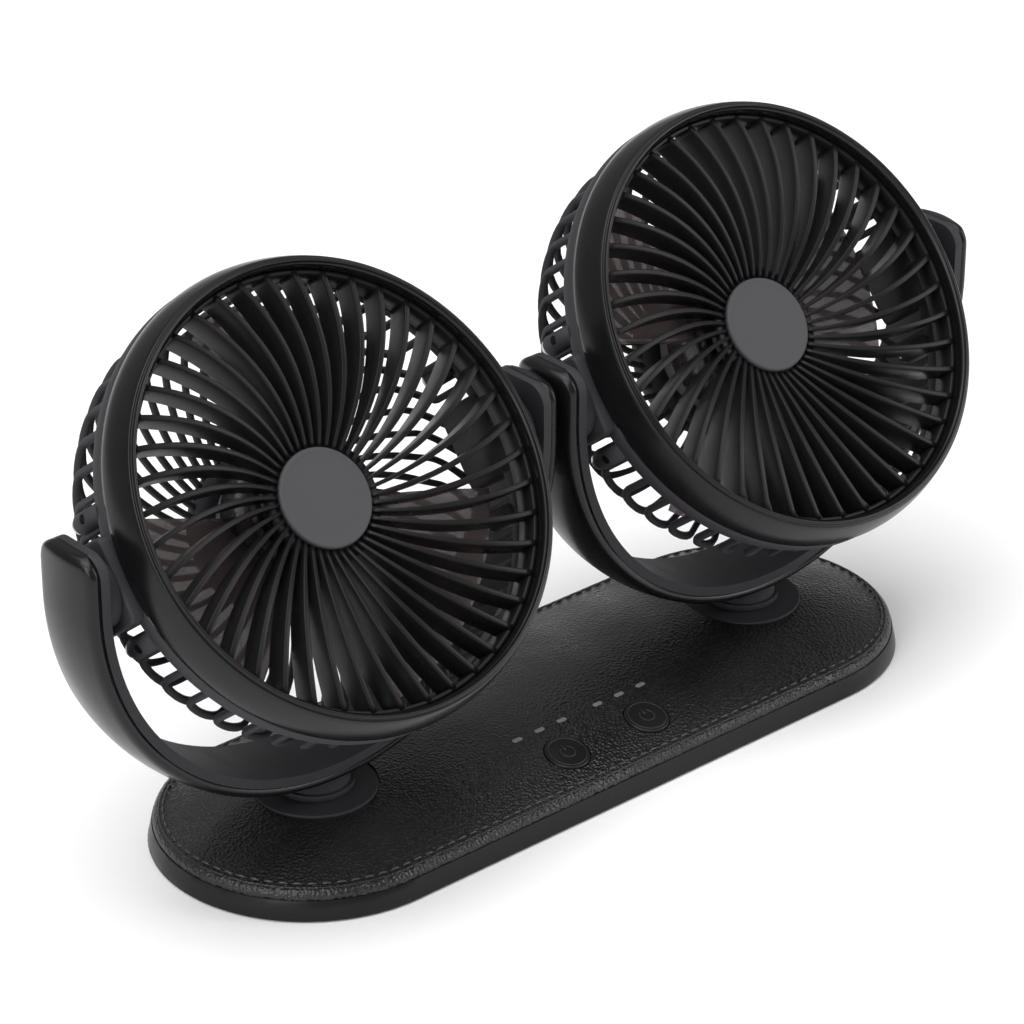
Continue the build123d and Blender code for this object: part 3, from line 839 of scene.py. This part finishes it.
@dataclass
class Cage(HeadPart):
    """The rear cage: twisted bars, rim, motor cup, side panels and screw bosses.

    The panel_steps are a panel's face and inset, boss_profile is a z and a radius, and
    hole_profile a distance from the fan axis and a radius.
    """

    bar_count: int = 45
    bar_width: float = 2.0
    bar_end_width: float = 1.5
    bar_depth: float = 2.2
    bar_phase: float = -1.6
    bar_twist: float = 0.65
    bar_sides: int = 14
    bar_steps: int = 14
    bar_squareness: float = 0.6
    bar_stations: tuple[float, ...] = (6.0, 4.0, 1.0, -2.0, -5.0, -7.5)
    corner_twist: float = 8.0
    corner_twist_degrees: float = 60.0
    cage_radius: float = 62.6
    cage_corner: float = 13.0
    cage_side: float = -9.5
    cage_back: float = -24.4
    cup_radius: float = 22.0
    bar_overlap: float = 1.0
    rim_profile: Profile = (
        (60.3, 4.4), (60.7, 4.05), (64.2, 4.05), (64.9, 4.35), (65.2, 5.0), (65.25, 9.1), (65.0, 9.4),
        (60.7, 9.4), (60.3, 9.0))
    rim_steps: int = 240
    cup_profile: Profile = (
        (21.9, -20.6), (21.9, -27.0), (21.5, -28.2), (20.6, -28.85), (19.5, -28.98), (14.0, -28.98),
        (13.7, -28.7), (13.0, -28.7), (12.7, -28.98), (2.0, -28.98), (2.0, -26.7), (16.7, -26.7),
        (16.7, -20.6))
    cup_steps: int = 96
    panel_half: float = 9.5
    panel_front: float = 7.0
    panel_rear: float = -10.0
    panel_corner: float = 2.4
    panel_corner_points: int = 6
    panel_root: float = 60.3
    panel_steps: Profile = ((67.2, 0.0), (67.75, 0.25), (67.95, 0.9))
    screw_circle: float = 62.8
    screw_angles: tuple[float, ...] = (19.6, 163.6, 195.6, 339.6)
    screw_rear: float = -9.4
    boss_profile: Profile = ((5.0, 3.05), (-7.2, 3.05), (-7.75, 2.85), (-7.98, 2.4), (-7.98, 1.5))
    boss_sides: int = 24
    hole_profile: Profile = ((65.4, 1.35), (65.85, 1.3), (65.88, 1.1))
    hole_height: float = -2.2
    hole_sides: int = 20
    cross_reach: float = 1.3
    cross_half: float = 0.3
    cross_depths: tuple[float, float] = (-0.02, 0.5)

    def bar_run(self) -> list[tuple[float, float, float, float]]:
        """Places along the middle of a cage bar, from the rim over the corner to the motor cup.

        Returns:
            For each place its radius, its z, the turn of the bar's outward side and the twist in degrees.
        """
        mid = self.bar_depth / 2
        side, corner = self.cage_radius - mid, self.cage_corner - mid
        centre = self.cage_radius - self.cage_corner
        run = [(side, z, 0.0, 0.0) for z in self.bar_stations]
        for n in range(self.bar_steps + 1):
            turn = math.pi / 2 * n / self.bar_steps
            radius, z = centre + corner * math.cos(turn), self.cage_side - corner * math.sin(turn)
            swing = min(turn / math.radians(self.corner_twist_degrees), 1.0)
            eased = swing * swing * (3 - 2 * swing)
            run.append((radius, z, turn, self.bar_twist * (side - radius) + self.corner_twist * eased))
        flat = self.cage_side - corner
        drop = self.cage_back + mid - flat
        for n in range(1, self.bar_steps + 1):
            radius = centre - (centre - self.cup_radius + self.bar_overlap) * n / self.bar_steps
            z = flat + drop * (centre - radius) / (centre - self.cup_radius)
            run.append((radius, z, math.pi / 2, self.bar_twist * (side - radius) + self.corner_twist))
        return run

    def bar(self, turn: float) -> Surface:
        """Build one rounded cage bar.

        Args:
            turn: Angle of the bar at the rim.

        Returns:
            The bar, from the rim to the motor cup.
        """
        run = self.bar_run()
        last = len(run) - 1
        section = []
        for k in range(self.bar_sides):
            a = 2 * math.pi * k / self.bar_sides
            section.append((math.copysign(abs(math.cos(a)) ** self.bar_squareness, math.cos(a)),
                            math.copysign(abs(math.sin(a)) ** self.bar_squareness, math.sin(a))))
        rows = []
        for n, (radius, z, lean, twist) in enumerate(run):
            back, ahead = run[max(n - 1, 0)], run[min(n + 1, last)]
            meridian = math.hypot(ahead[0] - back[0], ahead[1] - back[1])
            slant = math.atan2(radius * math.radians(ahead[3] - back[3]), meridian)
            width = self.bar_width + (self.bar_end_width - self.bar_width) * n / last
            row = []
            for u, v in section:
                across, out = u * width / 2, v * self.bar_depth / 2
                along = -across * math.sin(slant)
                r = radius + out * math.cos(lean) - along * math.sin(lean)
                h = z - out * math.sin(lean) - along * math.cos(lean)
                row.append(self.polar(r, turn + twist + math.degrees(across * math.cos(slant) / radius), h))
            rows.append(row)
        return Surface(rows)

    def bars(self) -> bpy.types.Object:
        """Build all the cage's bars.

        Returns:
            The bars as one object.
        """
        turns = [self.bar_phase + 360 / self.bar_count * k for k in range(self.bar_count)]
        return shaped(self.side.prefix + "cage_bars", *(self.bar(turn) for turn in turns))

    def panel(self, end: int) -> Surface:
        """Build one rounded side panel that carries a pivot.

        Args:
            end: -1 for the left panel and 1 for the right one.

        Returns:
            The panel, from the inside out.
        """
        half, front, rear = self.panel_half, self.panel_front, self.panel_rear
        count = self.panel_corner_points
        outline = []
        for quarter, (y, z) in enumerate(((half, front), (-half, front), (-half, rear), (half, rear))):
            outline += [(y, z, math.radians(90 * (quarter + n / (count - 1)))) for n in range(count)]
        rows = []
        for face, inset in ((None, 0.0), *self.panel_steps):
            row = []
            for middle_y, middle_z, turn in outline:
                y = middle_y + (self.panel_corner - inset) * math.cos(turn)
                z = middle_z + (self.panel_corner - inset) * math.sin(turn)
                x = math.sqrt(self.panel_root**2 - y * y) if face is None else face
                row.append(self.square(end * x, y, z))
            rows.append(row)
        return Surface(rows)

    def boss(self, angle: float) -> Surface:
        """Build a rounded screw boss on the rim.

        Args:
            angle: Where on the rim it stands.

        Returns:
            The boss, from the front to the rear.
        """
        a = math.radians(angle)
        x, y = self.screw_circle * math.cos(a), self.screw_circle * math.sin(a)
        turns = [2 * math.pi * k / self.boss_sides for k in range(self.boss_sides)]
        rows = []
        for z, radius in self.boss_profile:
            rows.append([self.square(x + radius * math.cos(turn), y + radius * math.sin(turn), z)
                         for turn in turns])
        return Surface(rows)

    def body(self) -> bpy.types.Object:
        """Build the rim, the motor cup, the side panels and the screw bosses.

        Returns:
            The cage's frame as one object.
        """
        shapes = [self.lathe(self.rim_profile, self.rim_steps), self.lathe(self.cup_profile, self.cup_steps)]
        shapes += [self.panel(end) for end in (-1, 1)]
        shapes += [self.boss(angle) for angle in self.screw_angles]
        return shaped(self.side.prefix + "cage_frame", *shapes)

    def boss_hole(self, angle: float) -> Surface:
        """Build a dark plug that paints the shade inside the side hole of a screw boss.

        Args:
            angle: Where on the rim the boss stands.

        Returns:
            The lining, from the inside out.
        """
        rows = []
        for out, radius in self.hole_profile:
            row = []
            for k in range(self.hole_sides):
                turn = 2 * math.pi * k / self.hole_sides
                swing = math.degrees(radius * math.cos(turn) / out)
                row.append(self.polar(out, angle + swing, radius * math.sin(turn) + self.hole_height))
            rows.append(row)
        return Surface(rows)

    def screw_cross(self, angle: float) -> list[Surface]:
        """Build dark slots that paint the shade in the cross recess of a cage screw's head.

        Args:
            angle: Where on the rim the screw sits.

        Returns:
            The two slots of the cross.
        """
        a = math.radians(angle)
        x, y = self.screw_circle * math.cos(a), self.screw_circle * math.sin(a)
        reach, half = self.cross_reach, self.cross_half
        upright = ((-reach, -half), (reach, -half), (reach, half), (-reach, half))
        slots = []
        for corners in (upright, [(v, -u) for u, v in upright]):
            slots.append(Surface([[self.square(x + u, y + v, self.screw_rear + depth) for u, v in corners]
                                  for depth in self.cross_depths]))
        return slots

    def build(self) -> None:
        """Dress the cage's screws and build its frame, its bars, and the dark pieces painted as shade in its
        holes and screw recesses.
        """
        prefix, head = self.side.prefix, self.side.prefix + "head"
        dress(prefix + "cage_screws", STEEL, 0.25)
        crosses = [slot for angle in self.screw_angles for slot in self.screw_cross(angle)]
        holes = [self.boss_hole(angle) for angle in self.screw_angles]
        # These slots carry painted shade for the screw recesses.
        fit(shaped(prefix + "screw_crosses", *crosses), RECESS_SHADE, head, "steel")
        fit(self.body(), SATIN, head, "satin_plastic", prefix + "rear_cage")
        fit(self.bars(), SATIN, head, "satin_plastic")
        # These plugs carry painted shade for the boss holes.
        fit(shaped(prefix + "boss_holes", *holes), HOLE_SHADE, head, "satin_plastic")


@dataclass
class FanHead:
    """A whole fan head: motor and pivots, impeller, front and rear cage."""

    side: Side

    def build(self) -> None:
        """Dress the motor and the pivots and build the pieces round them."""
        prefix = self.side.prefix
        dress(prefix + "pivot_discs", SATIN, 0.4)
        dress(prefix + "pivot_screws", STEEL, 0.3)
        dress(prefix + "motor", CAN, 0.3)
        dress(prefix + "motor_shaft", STEEL, 0.2)
        for part in (Impeller(self.side), Front(self.side), Cage(self.side)):
            part.build()


@dataclass
class SoftLight:
    """A large softbox that faces the object. Sizes in metres, power in watts."""

    name: str
    place: Point
    width: float
    height: float
    power: float
    target: Point = (0.0, 0.0, 0.08)

    def build(self) -> None:
        """Hang the softbox and aim it at the middle of the object."""
        lamp = bpy.data.lights.new(self.name, "AREA")
        lamp.shape = "RECTANGLE"
        lamp.size, lamp.size_y, lamp.energy = self.width, self.height, self.power
        box = bpy.data.objects.new(self.name, lamp)
        box.location = self.place
        aim = Vector(self.target) - Vector(self.place)
        box.rotation_euler = aim.to_track_quat("-Z", "Y").to_euler()
        bpy.context.scene.collection.objects.link(box)


@dataclass
class SkyGlow:
    """A very soft sun that keeps the floor evenly pale. Angles in degrees."""

    name: str = "soft_sun"
    turn: Point = (24.0, 0.0, -75.0)
    strength: float = 1.6
    spread: float = 60.0

    def build(self) -> None:
        """Add the sun to the scene."""
        sun = bpy.data.lights.new(self.name, "SUN")
        sun.energy, sun.angle = self.strength, math.radians(self.spread)
        holder = bpy.data.objects.new(self.name, sun)
        holder.rotation_euler = [math.radians(turn) for turn in self.turn]
        bpy.context.scene.collection.objects.link(holder)


@dataclass
class Studio:
    """Camera, floor, surroundings and lights. Sizes in metres, angles in degrees."""

    camera_place: Point = (-0.6954, -0.7808, 0.6199)
    camera_turn: Point = (62.30, 0.0, -41.31)
    lens: float = 149.67
    sensor: float = 36.0
    floor_size: float = 14.0
    floor_height: float = -0.00005
    floor_shade: float = 0.92
    floor_roughness: float = 0.9
    sky: float = 0.34
    lights: tuple[SoftLight, ...] = (
        SoftLight("softbox_top", (0.1, 0.2, 1.9), 1.8, 1.4, 16.0),
        SoftLight("softbox_left", (-1.7, -0.6, 1.0), 1.0, 1.6, 16.0),
        SoftLight("softbox_right", (1.5, -1.2, 0.9), 0.8, 1.5, 14.0),
    )

    def camera(self) -> None:
        """Stand the camera where the photograph was taken from."""
        lens = bpy.data.cameras.new("photo_camera")
        lens.lens, lens.sensor_width = self.lens, self.sensor
        camera = bpy.data.objects.new("photo_camera", lens)
        camera.location = self.camera_place
        camera.rotation_euler = [math.radians(turn) for turn in self.camera_turn]
        bpy.context.scene.collection.objects.link(camera)
        bpy.context.scene.camera = camera

    def floor(self) -> None:
        """Lay the plain pale floor just under the pad."""
        half = self.floor_size / 2
        rows = [[(-half, y, self.floor_height), (half, y, self.floor_height)] for y in (-half, half)]
        ground = shaped("studio_floor", Surface(rows, closed=False))
        paper = bpy.data.materials.new("studio_paper")
        paper.use_nodes = True
        shader = paper.node_tree.nodes["Principled BSDF"]
        shader.inputs["Base Color"].default_value = (*(self.floor_shade,) * 3, 1.0)
        shader.inputs["Roughness"].default_value = self.floor_roughness
        ground.data.materials.append(paper)

    def surroundings(self) -> None:
        """Light the whole scene with a plain white sky."""
        world = bpy.data.worlds.new("studio_sky")
        world.use_nodes = True
        sky = world.node_tree.nodes["Background"]
        sky.inputs["Color"].default_value = (1.0, 1.0, 1.0, 1.0)
        sky.inputs["Strength"].default_value = self.sky
        bpy.context.scene.world = world
        bpy.context.scene.view_settings.view_transform = "Standard"

    def build(self) -> None:
        """Set up everything that isn't part of the object."""
        self.camera()
        self.floor()
        self.surroundings()
        for light in (*self.lights, SkyGlow()):
            light.build()
        log.info("studio ready")


def main() -> None:
    """Build and dress the fan, from the base up, and its studio."""
    logging.basicConfig(level=logging.INFO)
    Base().build()
    for side in Side:
        Yoke(side).build()
        FanHead(side).build()
    Studio().build()


if __name__ == "__main__":
    main()
